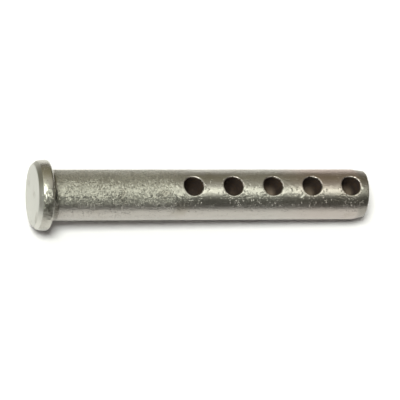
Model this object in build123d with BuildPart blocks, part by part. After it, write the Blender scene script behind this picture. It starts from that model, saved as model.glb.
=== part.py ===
# Adjustable clevis pin, cold headed from one piece of steel wire, with a row of
# cross holes that take a cotter or hitch pin. Sizes are in millimetres.
#
# The origin is the centre of the head's flat face. +Z runs along the pin from the
# head to the point, and every cross hole runs along Y.
import os

from build123d import *

# Shank, and the row of cross holes in it
shank_diameter = 7.8
first_hole = 22.2  # bearing face of the head to the centre of the first hole
hole_pitch = 6.35
hole_count = 5
last_hole = 3.2  # centre of the last hole to the tip
hole_diameter = 3.0
hole_chamfer = 0.2  # broken edge round each mouth

# Head
head_overhang = 1.5  # reach beyond the shank, all round
head_height = 2.4
bevel_height = 0.7  # sloped border of the flat face, measured along the pin
bevel_width = 0.4  # and across it
face_edge = 0.3  # rounding between the face and its bevel
rim_blend = 1.0  # rounding between the bevel and the rim
back_edge = 0.4  # rounding of the rim's other edge, towards the shank
neck_radius = 0.7  # fillet between the head and the shank

# Point
taper_length = 2.2
taper_depth = 0.35  # loss of radius along the taper
point_edge = 0.4  # rounding between the taper and the end face

shank_radius = shank_diameter / 2
head_radius = shank_radius + head_overhang
face_radius = head_radius - bevel_width
hole_row = (hole_count - 1) * hole_pitch
tip = head_height + first_hole + hole_row + last_hole
tip_radius = shank_radius - taper_depth

# Corners of the half section from the head's face to the tip, as (radius, height),
# each with the rounding that it gets
corner_roundings = {
    (face_radius, 0): face_edge,
    (head_radius, bevel_height): rim_blend,
    (head_radius, head_height): back_edge,
    (shank_radius, head_height): neck_radius,
    (shank_radius, tip - taper_length): taper_length / 2,
    (tip_radius, tip): point_edge,
}

with BuildPart() as clevis_pin:
    with BuildSketch(Plane.XZ) as half_section:
        with BuildLine():
            Polyline((0, 0), *corner_roundings, (0, tip), close=True)
        make_face()
        for corner, rounding in corner_roundings.items():
            fillet(half_section.vertices().sort_by_distance(corner)[0], rounding)
    revolve(axis=Axis.Z)

    # The holes go right across the shank, and both mouths of each have a broken edge
    with BuildSketch(Plane.XZ.offset(-head_radius)) as hole_outlines:
        with Locations((0, head_height + first_hole + hole_row / 2)):
            with GridLocations(0, hole_pitch, 1, hole_count):
                Circle(hole_diameter / 2)
    extrude(amount=2 * head_radius, mode=Mode.SUBTRACT)
    hole_mouths = clevis_pin.edges(Select.LAST).filter_by(GeomType.LINE, reverse=True)
    chamfer(hole_mouths, hole_chamfer)

clevis_pin.part.label = "clevis_pin"

os.makedirs("parts", exist_ok=True)
export_step(clevis_pin.part, "parts/clevis_pin.step")
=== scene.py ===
import math

import bmesh
import bpy
from mathutils import Matrix, Vector


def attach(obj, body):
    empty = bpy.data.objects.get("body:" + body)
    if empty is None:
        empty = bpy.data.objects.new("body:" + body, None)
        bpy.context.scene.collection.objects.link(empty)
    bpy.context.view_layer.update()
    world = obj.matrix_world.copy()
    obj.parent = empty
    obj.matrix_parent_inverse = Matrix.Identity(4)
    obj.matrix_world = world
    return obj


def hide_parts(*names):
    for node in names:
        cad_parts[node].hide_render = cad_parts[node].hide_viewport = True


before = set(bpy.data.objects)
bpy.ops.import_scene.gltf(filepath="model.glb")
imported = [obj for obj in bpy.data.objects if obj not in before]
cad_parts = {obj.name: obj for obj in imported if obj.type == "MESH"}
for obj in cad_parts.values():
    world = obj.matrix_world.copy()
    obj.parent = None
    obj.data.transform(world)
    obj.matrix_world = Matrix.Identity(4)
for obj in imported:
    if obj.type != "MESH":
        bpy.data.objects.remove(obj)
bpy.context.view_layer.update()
mm = 0.001


def turned(azimuth, elevation=0.0):
    # unit vector at an azimuth round the pin (0 is -Y, 90 is +X) and an elevation towards +Z
    a, e = math.radians(azimuth), math.radians(elevation)
    return Vector((math.sin(a) * math.cos(e), -math.cos(a) * math.cos(e), math.sin(e)))


viewpoint = {
    "azimuth": 21.7,
    "elevation": -15.77,
    "distance": 0.492,
    "lens": 286.5,
    "sensor": 36,
    "clip": (0.01, 10),
    "roll": 0.19,
    "aimHeight": 0.0265,
    "imageWidth": 400,
    "aimPixel": (199.7, 194.72),
}


def placeCamera(v):
    back = turned(v["azimuth"], v["elevation"])
    along = Vector((0, 0, 1))
    right = (along - back * along.dot(back)).normalized()
    up = back.cross(right)
    roll = math.radians(v["roll"])
    right, up = (
        right * math.cos(roll) - up * math.sin(roll),
        right * math.sin(roll) + up * math.cos(roll),
    )
    pixel = v["distance"] / (v["lens"] / v["sensor"] * v["imageWidth"])
    dx = (v["aimPixel"][0] - v["imageWidth"] / 2) * pixel
    dy = -(v["aimPixel"][1] - v["imageWidth"] / 2) * pixel
    data = bpy.data.cameras.new("camera")
    data.lens = v["lens"]
    data.sensor_width = v["sensor"]
    data.clip_start, data.clip_end = v["clip"]
    cam = bpy.data.objects.new("camera", data)
    bpy.context.scene.collection.objects.link(cam)
    cam.matrix_world = Matrix((right, up, back)).transposed().to_4x4()
    cam.location = Vector((0, 0, v["aimHeight"])) + back * v["distance"] - right * dx - up * dy
    bpy.context.scene.camera = cam


placeCamera(viewpoint)
print("camera placed")

finishes = {}  # the node tree that is being built


def startTree(tree):
    tree.nodes.clear()
    finishes["tree"] = tree


def startFinish(name):
    mat = bpy.data.materials.new(name)
    mat.use_nodes = True
    finishes["tree"] = mat.node_tree
    shader = mat.node_tree.nodes["Principled BSDF"]
    shader.inputs["Metallic"].default_value = 1.0
    return mat, shader


def node(kind, **values):
    made = finishes["tree"].nodes.new("ShaderNode" + kind)
    for key, value in values.items():
        setattr(made, key, value)
    return made


def plug(socket, value):
    if isinstance(value, bpy.types.NodeSocket):
        finishes["tree"].links.new(value, socket)
    elif isinstance(value, tuple) and socket.type == "RGBA":
        socket.default_value = (*value, 1)
    else:
        socket.default_value = value


def calc(operation, a, b=0.0):
    made = node("Math", operation=operation)
    plug(made.inputs[0], a)
    plug(made.inputs[1], b)
    return made.outputs[0]


def blend(factor, a, b, low=0.0, high=1.0):
    # goes from a to b as the factor goes from low to high
    made = node("MapRange")
    for socket, value in zip(made.inputs, (factor, low, high, a, b)):
        plug(socket, value)
    return made.outputs[0]


def step(value, low, high):
    # 0 below low, 1 above high, smooth between
    made = node("MapRange", interpolation_type="SMOOTHSTEP")
    for socket, v in zip(made.inputs, (value, low, high, 0.0, 1.0)):
        plug(socket, v)
    return made.outputs[0]


def axes(vector):
    made = node("SeparateXYZ")
    plug(made.inputs[0], vector)
    return made.outputs


def ramp(factor, stops, low, high, easing="LINEAR"):
    # a number or colour read off a list of places between low and high
    made = node("ValToRGB")
    plug(made.inputs[0], factor)
    made.color_ramp.interpolation = easing
    marks = made.color_ramp.elements
    for k, (at, value) in enumerate(stops):
        mark = marks[k] if k < 2 else marks.new(1.0)
        mark.position = (at - low) / (high - low)
        mark.color = (*value, 1) if isinstance(value, tuple) else (value, value, value, 1)
    return made.outputs[0]


def noise(vector, size, detail=2.0, rough=0.5):
    made = node("TexNoise")
    settings = {"Vector": vector, "Scale": 1 / size, "Detail": detail, "Roughness": rough}
    for key, value in settings.items():
        plug(made.inputs[key], value)
    return made.outputs["Fac"]


def cells(vector, size):
    # distance to the nearest of scattered points, and that point's own number
    made = node("TexVoronoi")
    plug(made.inputs["Vector"], vector)
    plug(made.inputs["Scale"], 1 / size)
    number = node("SeparateColor")
    plug(number.inputs[0], made.outputs["Color"])
    return made.outputs["Distance"], number.outputs[0]


spots = {
    "core": 0.3,  # where a spot starts to fade, in its radii
    "edge": 1.2,
    "pimpleShift": (0.03, 0.02, 0.01),  # keeps the pimples clear of the pits
}


def dots(vector, spacing, radius, share):
    # round spots in that share of the cells
    away, number = cells(vector, spacing)
    size = radius / spacing
    spot = calc("SUBTRACT", 1.0, step(away, spots["core"] * size, spots["edge"] * size))
    return calc("MULTIPLY", spot, calc("LESS_THAN", number, share))


def pitsAndPimples(vector, f, share):
    pits = dots(vector, f["pitSpacing"], f["pitRadius"], share)
    shifted = stretched(vector, shift=spots["pimpleShift"])
    return pits, dots(shifted, f["pitSpacing"], f["pitRadius"], share)


def facets(vector, size, tilt):
    # the surface's normal, tipped a little another way on each grain, and a number for each grain
    grains = node("TexVoronoi")
    plug(grains.inputs["Vector"], vector)
    plug(grains.inputs["Scale"], 1 / size)
    lean = node("VectorMath", operation="SUBTRACT")
    plug(lean.inputs[0], grains.outputs["Color"])
    plug(lean.inputs[1], (0.5, 0.5, 0.5))
    leaned = node("VectorMath", operation="SCALE")
    plug(leaned.inputs[0], lean.outputs[0])
    plug(leaned.inputs["Scale"], tilt)
    total = node("VectorMath", operation="ADD")
    plug(total.inputs[0], node("NewGeometry").outputs["Normal"])
    plug(total.inputs[1], leaned.outputs[0])
    unit = node("VectorMath", operation="NORMALIZE")
    plug(unit.inputs[0], total.outputs[0])
    number = node("SeparateColor")
    plug(number.inputs[0], grains.outputs["Color"])
    return unit.outputs[0], number.outputs[2]


def mixColour(factor, a, b, mode="MIX"):
    # the node's sockets for colours are its seventh and eighth
    made = node("Mix", data_type="RGBA", blend_type=mode)
    plug(made.inputs[0], factor)
    plug(made.inputs[6], a)
    plug(made.inputs[7], b)
    return made.outputs[2]


def bump(height, depth, under=None):
    made = node("Bump")
    plug(made.inputs["Strength"], 1.0)
    plug(made.inputs["Distance"], depth)
    plug(made.inputs["Height"], height)
    if under:
        plug(made.inputs["Normal"], under)
    return made.outputs[0]


def stretched(vector, scale=(1, 1, 1), shift=(0, 0, 0)):
    made = node("Mapping")
    plug(made.inputs["Vector"], vector)
    made.inputs["Scale"].default_value = scale
    made.inputs["Location"].default_value = shift
    return made.outputs[0]


tableRest = {
    "azimuth": -3.3,  # the way its face looks; the pin lies on it by its head's rim and its point
    "rimRadius": 5.4 * mm,
    "rimHeight": 1.4 * mm,
    "tipRadius": 3.9 * mm,
    "tipHeight": 51 * mm,
    "gap": 0.02 * mm,
    "middle": -10 * mm,  # along the pin, from the head's face
    "length": 0.18,
    "width": 0.095,
    "colour": (0.89, 0.863, 0.93),
}
floorLay = {
    "height": -0.05 * mm,
    "size": 3.0,
    "colour": (0.9, 0.9, 0.9),
    "glow": 0.62,
}


def whiteMaterial(name, colour, glow=0.0):
    # matt white in front, clear from behind; the glow is what is seen on top of the lamps' light
    mat = bpy.data.materials.new(name)
    mat.use_nodes = True
    startTree(mat.node_tree)
    matt = node("BsdfDiffuse")
    plug(matt.inputs["Color"], colour)
    rays = node("LightPath").outputs
    seen = calc("MAXIMUM", rays["Is Glossy Ray"], rays["Is Transmission Ray"])
    seen = calc("MAXIMUM", rays["Is Camera Ray"], seen)
    emit = node("Emission")
    plug(emit.inputs["Strength"], calc("MULTIPLY", seen, glow))
    front = node("AddShader")
    plug(front.inputs[0], matt.outputs[0])
    plug(front.inputs[1], emit.outputs[0])
    sides = node("MixShader")
    plug(sides.inputs[0], node("NewGeometry").outputs["Backfacing"])
    plug(sides.inputs[1], front.outputs[0])
    plug(sides.inputs[2], node("BsdfTransparent").outputs[0])
    plug(node("OutputMaterial").inputs["Surface"], sides.outputs[0])
    return mat


def addSheet(name, normal, centre, width, length, mat):
    bpy.ops.mesh.primitive_plane_add(size=1)
    sheet = bpy.context.object
    sheet.name = name
    sheet.rotation_mode = "QUATERNION"
    sheet.rotation_quaternion = normal.to_track_quat("Z", "Y")
    sheet.scale = (width, length, 1)
    sheet.location = centre
    sheet.data.materials.append(mat)
    return sheet


def addTable(t):
    # the white sheet that the pin lies on
    lean = math.atan2(t["rimRadius"] - t["tipRadius"], t["tipHeight"] - t["rimHeight"])
    outward, along = turned(t["azimuth"]), Vector((0, 0, 1))
    normal = outward * math.cos(lean) - along * math.sin(lean)
    alongPin = outward * math.sin(lean) + along * math.cos(lean)
    touch = along * t["rimHeight"] - outward * (t["rimRadius"] + t["gap"])
    mat = whiteMaterial("tableWhite", t["colour"])
    return addSheet("table", normal, touch + alongPin * t["middle"], t["width"], t["length"], mat)


def addFloor(f):
    # what the pin stands on in the other views, clear of the light that falls on the pin
    mat = whiteMaterial("floorWhite", f["colour"], f["glow"])
    sheet = addSheet("floor", Vector((0, 0, 1)), Vector((0, 0, f["height"])), f["size"], f["size"], mat)
    sheet.visible_glossy = False
    sheet.visible_diffuse = False
    sheet.visible_transmission = False
    sheet.visible_shadow = False
    return sheet


bpy.ops.object.select_all(action="DESELECT")
addTable(tableRest)
floor = addFloor(floorLay)
print("table and floor laid")

room = {
    "radius": 4.0,
    "segments": 96,
    "rings": 48,
    "bands": [  # azimuth and radiance of the tent round the pin
        (-180, (0.12, 0.11, 0.10)),
        (-100, (0.25, 0.235, 0.21)),
        (-62, (0.31, 0.285, 0.19)),
        (-47, (0.40, 0.375, 0.27)),
        (-30, (0.64, 0.62, 0.55)),
        (-15, (0.62, 0.60, 0.54)),
        (10, (0.15, 0.145, 0.13)),
        (38, (0.115, 0.115, 0.095)),
        (60, (0.07, 0.07, 0.058)),
        (90, (0.07, 0.07, 0.06)),
        (180, (0.12, 0.11, 0.10)),
    ],
    # elevation, and the share of that radiance there
    "heights": [(-90, 0.5), (-50, 0.6), (-25, 1), (22, 1), (35, 0.45), (90, 0.3)],
}


def makeWorld():
    world = bpy.data.worlds.new("white")
    bpy.context.scene.world = world
    world.use_nodes = True
    world.cycles.sampling_method = "NONE"  # the tent keeps its light from the pin
    startTree(world.node_tree)
    white = node("Background")
    plug(white.inputs["Color"], (1, 1, 1))
    plug(node("OutputWorld").inputs["Surface"], white.outputs[0])


def addTent(r):
    # the cloth round the table: it lights the pin and shows in the metal, and the camera looks past it
    bpy.ops.mesh.primitive_uv_sphere_add(
        segments=r["segments"], ring_count=r["rings"], radius=r["radius"]
    )
    tent = bpy.context.object
    tent.name = "tent"
    mat = bpy.data.materials.new("tentCloth")
    mat.use_nodes = True
    startTree(mat.node_tree)
    x, y, z = axes(node("TexCoord").outputs["Object"])
    around = calc("ARCTAN2", x, calc("MULTIPLY", y, -1.0))
    above = calc("ARCSINE", calc("DIVIDE", z, r["radius"]))
    turn = blend(around, 0.0, 1.0, -math.pi, math.pi)
    rise = blend(above, 0.0, 1.0, -math.pi / 2, math.pi / 2)
    cloth = node("Emission")
    plug(cloth.inputs["Color"], ramp(turn, r["bands"], -180, 180, "EASE"))
    plug(cloth.inputs["Strength"], ramp(rise, r["heights"], -90, 90))
    plug(node("OutputMaterial").inputs["Surface"], cloth.outputs[0])
    tent.data.materials.append(mat)
    tent.visible_camera = False
    tent.visible_shadow = False


makeWorld()
addTent(room)

lamps = {
    "mainLamp": {
        "azimuth": 5.2, "elevation": -17.5, "spread": 20, "power": 2.2, "colour": (1, 1.05, 0.93),
    },
    "softLamp": {
        "azimuth": 5.2, "elevation": -17.5, "spread": 20, "power": 1.1, "colour": (1, 1.05, 0.93),
        "glossy": False,
    },
    "floorLamp": {
        "azimuth": -20, "elevation": 55, "spread": 25, "power": 2.0, "colour": (1, 1, 1),
        "lights": floor,
    },
}


def addLamp(name, d):
    data = bpy.data.lights.new(name, "SUN")
    data.angle = math.radians(d["spread"])
    data.energy = d["power"]
    data.color = d["colour"]
    lamp = bpy.data.objects.new(name, data)
    bpy.context.scene.collection.objects.link(lamp)
    to = turned(d["azimuth"], d["elevation"])
    lamp.rotation_mode = "QUATERNION"
    lamp.rotation_quaternion = to.to_track_quat("Z", "Y")
    lamp.location = to
    lamp.visible_glossy = d.get("glossy", True)
    if "lights" in d:  # a lamp for one sheet alone
        lit = bpy.data.collections.new(name + "Reach")
        lit.objects.link(d["lights"])
        lamp.light_linking.receiver_collection = lit


for name, d in lamps.items():
    addLamp(name, d)
print("tent and lamps up")

pinShape = {
    "shankRadius": 3.9 * mm,
    "neckStart": 3.1 * mm,  # height where the plain shank begins
    "firstHole": 24.6 * mm,
    "holePitch": 6.35 * mm,
    "holeCount": 5,
    "holeRadius": 1.5 * mm,
    # the mouths' rounding: reach past the hole and depth, in mm
    "lip": [(0.22, 0.0), (0.13, 0.04), (0.04, 0.12), (0.0, 0.26)],
    "columns": 20,  # squares across half the way round, for one hole
    "rows": 10,
    "plainRows": 20,
    "cutSquares": 1.5,  # cut out each way from a hole's middle
    # squares out from a hole's middle, and how far they are drawn into a circle
    "roundedRings": [(3.1, 0.5), (2.1, 1.0)],
    "ringWidth": 0.6,
    "loopReach": 2.2 * mm,  # holds a mouth's open edge and no other
    "near": 0.01 * mm,
    "smoothing": 2,
    "taperStart": 51.0 * mm,
    "tipCorner": 0.4 * mm,
    "tip": 53.198 * mm,
    "tipRadius": 3.62 * mm,
    "cornerTurns": (18, 36, 54, 72, 90),
    "endRings": (2.9, 2.5, 2.0, 1.5, 1.0, 0.6, 0.25),  # radii on the flat end, in mm
    "lean": math.radians(2.1),  # of the flat end
    "leanReach": 1.1 * mm,
    "endFaceRadius": 3.1 * mm,  # the part of the flat end that has the head's finish
    "endFaceDrop": 0.5 * mm,
    "boreRings": 22,
    "head": [  # radius and height in mm, from the neck to the face
        (3.924, 2.919), (3.994, 2.75), (4.105, 2.605), (4.25, 2.494), (4.419, 2.424), (4.6, 2.4),
        (4.8, 2.4), (5.0, 2.4), (5.15, 2.37), (5.28, 2.283), (5.365, 2.153), (5.393, 2.0),
        (5.394, 1.8), (5.391, 1.6), (5.38, 1.38), (5.363, 1.2), (5.34, 1.05), (5.305, 0.9),
        (5.265, 0.775), (5.235, 0.69), (5.215, 0.64), (5.19, 0.61), (5.09, 0.49), (4.97, 0.34),
        (4.85, 0.19), (4.77, 0.09), (4.72, 0.04), (4.67, 0.012), (4.6, 0.0),
        (4.3, 0.0), (3.85, 0.0), (3.4, 0.0), (2.95, 0.0), (2.5, 0.0), (2.05, 0.0), (1.6, 0.0),
        (1.15, 0.0), (0.75, 0.0), (0.4, 0.0), (0.15, 0.0),
    ],
}


def editMesh():
    return bmesh.from_edit_mesh(bpy.context.object.data)


def choose(test):
    # the points of the mesh that pass the test
    mesh = editMesh()
    bpy.ops.mesh.select_mode(type="VERT")
    for v in mesh.verts:
        v.select = test(v.co)
    mesh.select_flush_mode()
    bmesh.update_edit_mesh(bpy.context.object.data)


def chooseRim(test):
    # the open edges of the mesh whose ends both pass the test
    mesh = editMesh()
    bpy.ops.mesh.select_all(action="DESELECT")
    bpy.ops.mesh.select_mode(type="EDGE")
    for e in mesh.edges:
        if e.is_boundary and test(e.verts[0].co) and test(e.verts[1].co):
            e.select = True
    bmesh.update_edit_mesh(bpy.context.object.data)


def grow(move=(0, 0, 0), scale=(1, 1, 1), centre=(0, 0, 0)):
    bpy.ops.mesh.extrude_edges_move(TRANSFORM_OT_translate={"value": move})
    if scale != (1, 1, 1):
        bpy.ops.transform.resize(value=scale, center_override=centre)


def finish(modifier):
    bpy.ops.object.modifier_apply(modifier=modifier.name)


def addModifier(kind, **values):
    made = bpy.context.object.modifiers.new(kind.lower(), kind)
    for key, value in values.items():
        setattr(made, key, value)
    return made


def spin(radius, height, steps):
    # carries an open round end on through a list of rings and closes it
    near = 0.02 * mm
    for r, z in steps:
        chooseRim(lambda p: abs(p.z - height) < near and abs(math.hypot(p.x, p.y) - radius) < near)
        grow((0, 0, z - height), (r / radius, r / radius, 1), (0, 0, z))
        radius, height = r, z
    bpy.ops.mesh.merge(type="CENTER")


def makePin(s):
    radius, pitch, near = s["shankRadius"], s["holePitch"], s["near"]
    halfTurn = math.pi * radius
    column, row = halfTurn / s["columns"], pitch / s["rows"]
    nearColumn, nearRow = 0.1 * column, 0.1 * row

    # one square of the shank's skin, laid flat, with a hole in its middle
    bpy.ops.mesh.primitive_grid_add(
        x_subdivisions=s["columns"], y_subdivisions=s["rows"], size=1, rotation=(math.pi / 2, 0, 0)
    )
    pinMesh = bpy.context.object
    pinMesh.name = "pin"
    pinMesh.scale = (halfTurn, pitch, 1)
    bpy.ops.object.transform_apply(location=True, rotation=True, scale=True)
    bpy.ops.object.mode_set(mode="EDIT")
    cut = s["cutSquares"]
    choose(lambda p: abs(p.x) < cut * column and abs(p.z) < cut * row)
    bpy.ops.mesh.delete(type="VERT")
    for outer, roundness in s["roundedRings"]:
        inner = outer - s["ringWidth"]
        choose(
            lambda p: abs(p.x) < outer * column
            and abs(p.z) < outer * row
            and (abs(p.x) > inner * column or abs(p.z) > inner * row)
        )
        bpy.ops.transform.tosphere(value=roundness)
    picked = [v.co.copy() for v in editMesh().verts if v.select]
    size = sum(math.hypot(p.x, p.z) for p in picked) / len(picked)
    print("mouth loop", len(picked), "points,", round(size / mm, 3), "mm")
    # the smoothing to come draws a loop with that many points in by this much
    drawn = (2 + math.cos(2 * math.pi / len(picked))) / 3
    last = (size, size, 0.0)  # the ring before: reach across, reach along and depth
    for k, (reach, depth) in enumerate(s["lip"]):
        target = s["holeRadius"] + reach * mm
        across = radius * math.asin(target / (radius - depth * mm))
        want = Vector((across / drawn, target / drawn))
        share = (want.x / last[0], 1, want.y / last[1])
        if k == 0:
            bpy.ops.transform.resize(value=share, center_override=(0, 0, 0))
        else:
            chooseRim(lambda p: math.hypot(p.x, p.z) < s["loopReach"])
            grow((0, (depth - last[2]) * mm, 0), share)
        last = (want.x, want.y, depth)
    bpy.ops.mesh.select_all(action="SELECT")
    bpy.ops.transform.translate(value=(0, 0, s["firstHole"]))
    bpy.ops.object.mode_set(mode="OBJECT")

    # the second mouth, then the row of holes
    for count, offset in ((2, (halfTurn, 0, 0)), (s["holeCount"], (0, 0, pitch))):
        copies = addModifier(
            "ARRAY", count=count, use_relative_offset=False, use_constant_offset=True,
            use_merge_vertices=True, merge_threshold=near,
        )
        copies.constant_offset_displace = offset
        finish(copies)

    # the plain length towards the head, and the last row taken out to the point
    bpy.ops.object.mode_set(mode="EDIT")
    low, high = s["firstHole"] - pitch / 2, s["firstHole"] + pitch * (s["holeCount"] - 0.5)
    chooseRim(lambda p: abs(p.z - low) < nearRow)
    grow((0, 0, s["neckStart"] - low))
    mesh = editMesh()
    bpy.ops.mesh.select_all(action="DESELECT")
    for e in mesh.edges:
        a, b = e.verts[0].co, e.verts[1].co
        upright = abs(a.x - b.x) < nearColumn
        if upright and max(a.z, b.z) < low + nearRow and abs(a.z - b.z) > row:
            e.select = True
    bpy.ops.mesh.subdivide(number_cuts=s["plainRows"] - 1)
    choose(lambda p: abs(p.z - high) < nearRow)
    bpy.ops.transform.translate(value=(0, 0, s["tip"] - s["tipCorner"] - high))
    bpy.ops.object.mode_set(mode="OBJECT")
    finish(addModifier(
        "SUBSURF", levels=s["smoothing"], render_levels=s["smoothing"],
        boundary_smooth="PRESERVE_CORNERS",
    ))
    finish(addModifier("SIMPLE_DEFORM", deform_method="BEND", deform_axis="Z", angle=2 * math.pi))
    bpy.ops.object.mode_set(mode="EDIT")
    bpy.ops.mesh.select_all(action="SELECT")
    bpy.ops.transform.translate(value=(0, -radius, 0))
    bpy.ops.mesh.remove_doubles(threshold=near)
    print("skin rolled up")

    # the point: a taper, a rounded corner and the flat end
    end = s["tip"] - s["tipCorner"]
    choose(lambda p: p.z > end - near)
    shrink = s["tipRadius"] / radius
    bpy.ops.transform.resize(
        value=(shrink, shrink, 1), center_override=(0, 0, end), use_proportional_edit=True,
        proportional_edit_falloff="LINEAR", proportional_size=end - s["taperStart"],
    )
    turns = [math.radians(a) for a in s["cornerTurns"]]
    corner = s["tipCorner"]
    steps = [(s["tipRadius"] - corner * (1 - math.cos(a)), end + corner * math.sin(a)) for a in turns]
    steps += [(r * mm, s["tip"]) for r in s["endRings"]]
    spin(s["tipRadius"], end, steps)

    # the end is a little out of square
    choose(lambda p: p.z > end - near)
    bpy.ops.transform.rotate(
        value=-s["lean"], orient_axis="Y", center_override=(-s["tipRadius"], 0, s["tip"]),
        use_proportional_edit=True, proportional_edit_falloff="LINEAR", proportional_size=s["leanReach"],
    )
    heights = [round(v.co.z / mm, 3) for v in editMesh().verts if v.select]
    print("point closed, its corner and end from", min(heights), "to", max(heights), "mm")

    # the neck and the head
    spin(radius, s["neckStart"], [(r * mm, z * mm) for r, z in s["head"]])
    print("head closed")

    # the bores join the mouths in pairs
    for k in range(s["holeCount"]):
        z = s["firstHole"] + k * pitch
        chooseRim(lambda p: abs(p.z - z) < pitch / 2)
        bpy.ops.mesh.bridge_edge_loops(number_cuts=s["boreRings"])
    bpy.ops.mesh.select_all(action="SELECT")
    bpy.ops.mesh.normals_make_consistent(inside=False)
    bpy.ops.object.mode_set(mode="OBJECT")
    bpy.ops.object.shade_smooth()
    print("bores joined,", len(pinMesh.data.polygons), "faces in all")
    return pinMesh


bpy.ops.object.select_all(action="DESELECT")
pin = makePin(pinShape)
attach(pin, "root")
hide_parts("clevis_pin")

# a noise is given as its size, detail and roughness, and a fade as where it starts and where it is full
shankFinish = {
    "plainColour": (0.555, 0.537, 0.485),
    "smoothColour": (0.50, 0.475, 0.44),
    "stainColour": (0.44, 0.41, 0.36),
    "pitColour": (0.25, 0.24, 0.21),
    "pitStain": 0.3,
    "clouds": (4 * mm, 3),
    "cloudEdge": (0.55, 0.75),
    "tipReflectionTint": (1.0, 0.86, 0.84),  # painted warm reflection, most of it on one side of the point
    "tipFade": (37 * mm, 45 * mm),
    "tipSide": (-1.5 * mm, 1.5 * mm),
    "tipFarShare": 0.3,
    "taperShadeColour": (0.30, 0.285, 0.255),  # painted shade, a darker reflection, on the taper
    "endFade": (50.9 * mm, 52.0 * mm),
    "endWander": 0.15,
    "endShare": 0.8,
    "plainRoughness": 0.6,
    "plainMetallic": 0.9,
    "smoothRoughness": 0.43,
    "rubbedFade": (2.45 * mm, 3.05 * mm),  # one side of the pin is rubbed smooth
    "rubbedSpeckle": 0.15,
    "anisotropy": 0.83,
    "anisotropyTurn": 0.25,
    # height in mm, and how much of the speckle and of the pits is left there
    "dimpled": [
        (0, 1), (19.5, 1), (23.5, 0.5), (26, 0.2), (30, 0.2), (32, 0.4), (37, 0.35), (43, 0.25),
        (45, 0.2), (53.2, 0.2),
    ],
    "pitted": [
        (0, 1), (19.5, 1), (23.5, 0.6), (26, 0.25), (29.5, 0.25), (31.5, 0.45), (38, 0.4),
        (43, 0.25), (45, 0.12), (48, 0.12), (50.5, 0.4), (53.2, 0.8),
    ],
    "wander": (2.5 * mm, 2),  # moves those heights up and down
    "wanderReach": 5 * mm,
    # scratches painted as bright glints: azimuth and height of both ends, and width in mm
    "scuffGlints": [((28.5, 41.75), (24, 42.1), 0.3), ((3.5, 51.3), (7.5, 51.8), 0.55)],
    "scuffRadius": 3.9 * mm,
    "scuffFade": (0.6, 0.3),
    "scuffGlintColour": (0.72, 0.70, 0.65),
    "scuffMetallic": 0.2,
    "facetSize": 0.2 * mm,
    "facetShade": 0.22,
    "facetTilt": 0.48,
    "dimpleSize": 0.1 * mm,
    "dimpleDepth": 0.02 * mm,
    "grain": (0.2 * mm, 1),
    "grainDepth": 0.015 * mm,
    "clumps": (1.0 * mm, 2),  # where the pits stand close
    "clumpEdge": (0.35, 0.65),
    "pitSpacing": 0.31 * mm,
    "pitRadius": 0.12 * mm,
    "pitShare": (0.25, 0.8),
    "pitDepth": 0.045 * mm,
    "mouthShare": 0.38,  # pits beside the mouths of the holes
    "mouthReach": 2.9 * mm,
    "mouthSide": 0.8 * mm,
    "streaks": (0.2 * mm, 4, 0.7),
    "streakStretch": (0.06, 0.06, 1),
    "streakDepth": (0.03 * mm, 0.009 * mm),  # in the smooth metal and in the speckle
}
neckShadeAndDirt = {
    "colour": (0.16, 0.15, 0.12),  # dirt and painted shade in the corner under the head, most of it on one side
    "headFade": (2.35 * mm, 2.55 * mm),
    "shankFade": (3.65 * mm, 3.35 * mm),
    "sideFade": (0.7 * mm, 1.7 * mm),
    "backFade": (0.8 * mm, -0.4 * mm),
    "patches": (0.4 * mm, 3, 0.6),
    "patchiness": (0.4, 1.0, 0.35, 0.6),
    "share": 0.85,
    "washHeadFade": (2.45 * mm, 2.75 * mm),  # a thinner wash of that dirt and painted shade all round
    "washShankFade": (4.1 * mm, 2.55 * mm),
    "washShare": 0.35,
}
headFinish = {
    "faceColour": (0.61, 0.61, 0.57),
    "rimColour": (0.53, 0.515, 0.465),
    "rimFade": (0.2 * mm, 0.7 * mm),
    "stainColour": (0.44, 0.43, 0.385),
    "clouds": (3 * mm, 3),
    "cloudEdge": (0.55, 0.75),
    "bevelColour": (0.40, 0.39, 0.345),  # painted shade on one side of the sloped border, painted light on the other
    "bevelLitColour": (0.66, 0.655, 0.61),
    "bevelSide": (2.2 * mm, -0.5 * mm),
    "bevelFaceFade": (0.03 * mm, 0.15 * mm),
    "bevelRimFade": (0.7 * mm, 0.6 * mm),
    "rimShadeColour": (0.24, 0.23, 0.20),  # a painted strip of shade on the front of the rim
    "rimShadeShare": 0.8,
    "rimShadeStart": (2.4 * mm, 3.4 * mm),
    "rimShadeEnd": (4.9 * mm, 4.5 * mm),
    "rimShadeBackFade": (0, -1 * mm),
    "rimShadeFaceFade": (0.6 * mm, 0.8 * mm),
    "rimShadePatches": (0.5 * mm, 3, 0.6),
    "rimShadePatchiness": (0.3, 1.0, 0.35, 0.6),
    "faceRoughness": 0.5,
    "bevelRoughness": 0.45,
    "wornFade": (1.0 * mm, 1.8 * mm),  # from the smoother side of the rim to the worn one
    "rimRoughness": (0.27, 0.34),
    # dents in the face: x, y and radius in mm
    "dents": [
        (1.45, 1.95, 0.16), (-3.3, -0.8, 0.2), (0.3, -3.6, 0.14), (-0.9, 2.6, 0.12), (2.9, -1.3, 0.1),
        (-1.9, 0.6, 0.09),
    ],
    "dentFloor": 0.3,
    "dentDepth": 0.05 * mm,
    "grain": (0.2 * mm, 2, 0.6),
    "faceGrain": 0.004 * mm,
    "rimGrain": (0.004 * mm, 0.02 * mm),
    "facetSize": 0.22 * mm,
    "facetTilt": (0.05, 0.4),
    "pitSpacing": 0.26 * mm,
    "pitRadius": 0.1 * mm,
    "pitShare": (0.15, 0.8),
    "pitDepth": 0.03 * mm,
}
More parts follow.
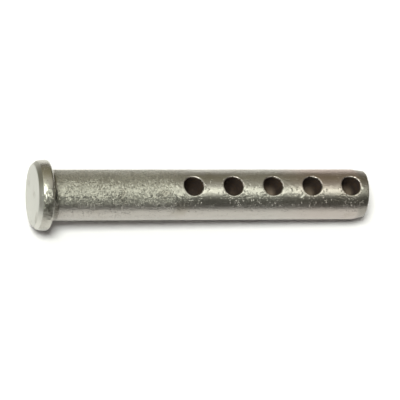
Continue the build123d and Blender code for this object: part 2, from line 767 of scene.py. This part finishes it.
lipFinish = {
    "width": 0.16 * mm,
    "depth": 0.25 * mm,
    "colour": (0.80, 0.73, 0.70),  # painted highlight on the side towards -X and the point, painted shade on the rest
    "lipShadeColour": (0.36, 0.34, 0.30),
    "brightFade": (-0.2 * mm, 0.9 * mm),
    "alongShare": 0.4,
    "acrossShare": 0.92,
    "nickColour": (0.22, 0.20, 0.18),
    "nicks": (0.4 * mm, 3, 0.6),
    "nickEdge": (0.5, 0.58),
    "nickDepth": 0.04 * mm,
    "roughness": (0.35, 0.55),
}
boreFinish = {
    "colour": (0.055, 0.038, 0.034),
    "rustColour": (0.085, 0.052, 0.034),
    "rustEdge": (0.42, 0.6),
    "insideLightColour": (0.58, 0.45, 0.36),  # painted light on one side, deep inside
    "deepFade": (-1 * mm, 3 * mm),
    "deepSide": (0.5 * mm, -0.6 * mm),
    "mouthFade": (3.6 * mm, 2.8 * mm),
    "pointwardLightFade": (31 * mm, 37 * mm),  # the bores towards the point have more of it
    "pointwardLightShare": (0.08, 1.0),
    "roughness": (0.65, 0.85),
    "ribs": (0.25 * mm, 3, 0.6),  # rings round the bore
    "ribStretch": (0.2, 1, 0.2),
    "ribDepth": 0.06 * mm,
    "mottle": (0.6 * mm, 3, 0.6),
    "mottleDepth": 0.1 * mm,
}


def multiply(first, *others):
    for other in others:
        first = calc("MULTIPLY", first, other)
    return first


# painted shade and dirt under the head: most in the corner and on one side, a thinner wash all round
def paintedNeckShadeAndDirt(place, f):
    x, y, z = axes(place)
    corner = multiply(step(z, *f["headFade"]), step(z, *f["shankFade"]))
    side = multiply(step(x, *f["sideFade"]), step(y, *f["backFade"]))
    patchy = blend(noise(place, *f["patches"]), *f["patchiness"])
    patch = multiply(multiply(corner, side), multiply(patchy, f["share"]))
    wash = multiply(step(z, *f["washHeadFade"]), step(z, *f["washShankFade"]), f["washShare"])
    return calc("MAXIMUM", patch, wash)


def fromHoles(z, s):
    # height above the nearest hole
    start = s["firstHole"] - s["holePitch"] / 2
    above = calc("MODULO", calc("SUBTRACT", z, start), s["holePitch"])
    return calc("SUBTRACT", above, s["holePitch"] / 2)


def scuffGlints(place, f):
    # how much of a scratch painted as a bright glint there is
    total = 0.0
    for (startTurn, startHeight), (endTurn, endHeight), width in f["scuffGlints"]:
        start = turned(startTurn) * f["scuffRadius"] + Vector((0, 0, startHeight * mm))
        along = turned(endTurn) * f["scuffRadius"] + Vector((0, 0, endHeight * mm)) - start
        offset = node("VectorMath", operation="SUBTRACT")
        plug(offset.inputs[0], place)
        plug(offset.inputs[1], tuple(start))
        reach = node("VectorMath", operation="DOT_PRODUCT")
        plug(reach.inputs[0], offset.outputs[0])
        plug(reach.inputs[1], tuple(along / along.length_squared))
        nearest = node("VectorMath", operation="SCALE")
        plug(nearest.inputs[0], tuple(along))
        plug(nearest.inputs["Scale"], blend(reach.outputs["Value"], 0.0, 1.0))
        away = node("VectorMath", operation="DISTANCE")
        plug(away.inputs[0], offset.outputs[0])
        plug(away.inputs[1], nearest.outputs[0])
        outer, inner = (share * width * mm for share in f["scuffFade"])
        total = calc("ADD", total, step(away.outputs["Value"], outer, inner))
    return calc("MINIMUM", total, 1.0)


def shankMaterial(f, s):
    mat, shader = startFinish("tumbledZinc")
    place = node("TexCoord").outputs["Object"]
    x, y, z = axes(place)

    wander = multiply(calc("SUBTRACT", noise(place, *f["wander"]), 0.5), f["wanderReach"])
    top = f["dimpled"][-1][0]
    height = calc("DIVIDE", calc("ADD", z, wander), top * mm)
    rubbed = step(x, *f["rubbedFade"])
    speckle = multiply(ramp(height, f["dimpled"], 0, top), blend(rubbed, 1.0, f["rubbedSpeckle"]))
    pitted = ramp(height, f["pitted"], 0, top)

    # pits and pimples, more of them in clumps and beside the holes
    clumps = step(noise(place, *f["clumps"]), *f["clumpEdge"])
    share = multiply(pitted, blend(clumps, *f["pitShare"]))
    beside = calc("ADD", x, -f["mouthSide"])
    reach = calc("SQRT", calc("ADD", calc("POWER", fromHoles(z, s), 2.0), calc("POWER", beside, 2.0)))
    mouth = multiply(
        step(z, s["firstHole"] - f["mouthReach"], s["firstHole"]),
        step(reach, f["mouthReach"], s["holeRadius"]),
        f["mouthShare"],
    )
    share = calc("MAXIMUM", share, mouth)
    pits, pimples = pitsAndPimples(place, f, share)

    # colour
    colour = mixColour(speckle, f["smoothColour"], f["plainColour"])
    colour = mixColour(step(noise(place, *f["clouds"]), *f["cloudEdge"]), colour, f["stainColour"])
    relief, number = facets(place, f["facetSize"], multiply(speckle, f["facetTilt"]))
    shade = blend(number, multiply(speckle, -f["facetShade"]), multiply(speckle, f["facetShade"]))
    colour = mixColour(1.0, colour, calc("ADD", shade, 1.0), "MULTIPLY")
    colour = mixColour(multiply(pits, f["pitStain"]), colour, f["pitColour"])
    # painted warm reflection near the point
    warmReflection = multiply(step(z, *f["tipFade"]), blend(step(x, *f["tipSide"]), 1.0, f["tipFarShare"]))
    colour = mixColour(warmReflection, colour, f["tipReflectionTint"], "MULTIPLY")
    # painted shade on the taper
    end = multiply(step(calc("ADD", z, multiply(wander, f["endWander"])), *f["endFade"]), f["endShare"])
    colour = mixColour(end, colour, f["taperShadeColour"])
    # painted shade and dirt in the corner under the head
    colour = mixColour(paintedNeckShadeAndDirt(place, neckShadeAndDirt), colour, neckShadeAndDirt["colour"])
    # scratches painted as bright glints
    marks = scuffGlints(place, f)
    colour = mixColour(marks, colour, f["scuffGlintColour"])
    plug(shader.inputs["Base Color"], colour)
    metal = blend(speckle, 1.0, f["plainMetallic"])
    plug(shader.inputs["Metallic"], blend(marks, metal, f["scuffMetallic"]))

    # sheen drawn out round the pin
    shader.inputs["Anisotropic"].default_value = f["anisotropy"]
    shader.inputs["Anisotropic Rotation"].default_value = f["anisotropyTurn"]
    around = node("CombineXYZ")
    plug(around.inputs[0], multiply(y, -1.0))
    plug(around.inputs[1], x)
    plug(shader.inputs["Tangent"], around.outputs[0])
    plug(shader.inputs["Roughness"], blend(speckle, f["smoothRoughness"], f["plainRoughness"]))

    # relief
    away, _ = cells(place, f["dimpleSize"])
    relief = bump(multiply(away, away), multiply(speckle, f["dimpleDepth"]), relief)
    relief = bump(noise(place, *f["grain"]), multiply(speckle, f["grainDepth"]), relief)
    relief = bump(calc("SUBTRACT", pimples, pits), f["pitDepth"], relief)
    streaks = noise(stretched(place, f["streakStretch"]), *f["streaks"])
    plug(shader.inputs["Normal"], bump(streaks, blend(speckle, *f["streakDepth"]), relief))
    return mat


def headMaterial(f):
    mat, shader = startFinish("headZinc")
    place = node("TexCoord").outputs["Object"]
    x, y, z = axes(place)
    rim = step(z, *f["rimFade"])
    worn = step(x, *f["wornFade"])
    bevel = multiply(step(z, *f["bevelFaceFade"]), step(z, *f["bevelRimFade"]))

    # colour
    colour = mixColour(rim, f["faceColour"], f["rimColour"])
    colour = mixColour(step(noise(place, *f["clouds"]), *f["cloudEdge"]), colour, f["stainColour"])
    # painted light on one side of the sloped border, painted shade on the other
    bevelColour = mixColour(step(x, *f["bevelSide"]), f["bevelLitColour"], f["bevelColour"])
    colour = mixColour(bevel, colour, bevelColour)
    # a painted strip of shade, in patches, on the front of the rim
    strip = multiply(step(x, *f["rimShadeStart"]), step(x, *f["rimShadeEnd"]), step(y, *f["rimShadeBackFade"]))
    patchy = blend(noise(place, *f["rimShadePatches"]), *f["rimShadePatchiness"])
    rimShade = multiply(strip, multiply(step(z, *f["rimShadeFaceFade"]), patchy), f["rimShadeShare"])
    colour = mixColour(rimShade, colour, f["rimShadeColour"])
    # painted shade and dirt in the corner under the head
    colour = mixColour(paintedNeckShadeAndDirt(place, neckShadeAndDirt), colour, neckShadeAndDirt["colour"])
    plug(shader.inputs["Base Color"], colour)
    rough = blend(rim, f["faceRoughness"], blend(worn, *f["rimRoughness"]))
    plug(shader.inputs["Roughness"], blend(bevel, rough, f["bevelRoughness"]))

    # relief
    relief, _ = facets(place, f["facetSize"], multiply(rim, blend(worn, *f["facetTilt"])))
    grainDepth = blend(rim, f["faceGrain"], blend(worn, *f["rimGrain"]))
    relief = bump(noise(place, *f["grain"]), grainDepth, relief)
    pits, pimples = pitsAndPimples(place, f, multiply(rim, blend(worn, *f["pitShare"])))
    relief = bump(calc("SUBTRACT", pimples, pits), f["pitDepth"], relief)
    dents = 0.0
    for dentX, dentY, radius in f["dents"]:
        away = node("VectorMath", operation="DISTANCE")
        plug(away.inputs[0], place)
        plug(away.inputs[1], (dentX * mm, dentY * mm, 0))
        dent = step(away.outputs["Value"], radius * mm, f["dentFloor"] * radius * mm)
        dents = calc("ADD", dents, dent)
    plug(shader.inputs["Normal"], bump(dents, f["dentDepth"], relief))
    return mat


def lipMaterial(f, s):
    mat, shader = startFinish("wornLipAndHighlight")
    place = node("TexCoord").outputs["Object"]
    x, _, z = axes(place)
    side = calc("SUBTRACT", multiply(fromHoles(z, s), f["alongShare"]), multiply(x, f["acrossShare"]))
    nicks = noise(place, *f["nicks"])
    # painted highlight on one side of each mouth, painted shade round the rest; dark nicks on top
    colour = mixColour(step(side, *f["brightFade"]), f["lipShadeColour"], f["colour"])
    colour = mixColour(step(nicks, *f["nickEdge"]), colour, f["nickColour"])
    plug(shader.inputs["Base Color"], colour)
    plug(shader.inputs["Roughness"], blend(nicks, *f["roughness"]))
    plug(shader.inputs["Normal"], bump(nicks, f["nickDepth"]))
    return mat


def boreMaterial(f):
    mat, shader = startFinish("boreScaleAndLight")
    shader.inputs["Metallic"].default_value = 0.0
    place = node("TexCoord").outputs["Object"]
    x, y, z = axes(place)
    ribs = noise(stretched(place, f["ribStretch"]), *f["ribs"])
    mottle = noise(place, *f["mottle"])
    # painted light deep inside the bores, on one side
    paintedBoreLight = multiply(
        step(y, *f["deepFade"]),
        step(x, *f["deepSide"]),
        step(y, *f["mouthFade"]),
        blend(step(z, *f["pointwardLightFade"]), *f["pointwardLightShare"]),
    )
    colour = mixColour(step(mottle, *f["rustEdge"]), f["colour"], f["rustColour"])
    colour = mixColour(paintedBoreLight, colour, f["insideLightColour"])
    plug(shader.inputs["Base Color"], colour)
    plug(shader.inputs["Roughness"], blend(mottle, *f["roughness"]))
    plug(shader.inputs["Normal"], bump(ribs, f["ribDepth"], bump(mottle, f["mottleDepth"])))
    return mat


def dressPin(s):
    # every face starts with the shank's finish
    pin.data.materials.clear()
    pin.data.materials.append(shankMaterial(shankFinish, s))
    pin.data.materials.append(headMaterial(headFinish))
    pin.data.materials.append(boreMaterial(boreFinish))
    pin.data.materials.append(lipMaterial(lipFinish, s))
    head, bore, lip = 1, 2, 3
    middles = [s["firstHole"] + k * s["holePitch"] for k in range(s["holeCount"])]
    for p in pin.data.polygons:
        c = p.center
        fromAxis = math.hypot(c.x, c.y)
        fromHole = min(math.hypot(c.x, c.z - z) for z in middles)
        onEnd = c.z > s["tip"] - s["endFaceDrop"] and fromAxis < s["endFaceRadius"]
        if c.z < s["neckStart"] or onEnd:
            p.material_index = head
        elif fromHole < s["holeRadius"] + lipFinish["width"]:
            outside = fromAxis > s["shankRadius"] - lipFinish["depth"]
            p.material_index = lip if outside else bore


dressPin(pinShape)
print("finishes on")

bpy.context.scene.view_settings.view_transform = "Standard"
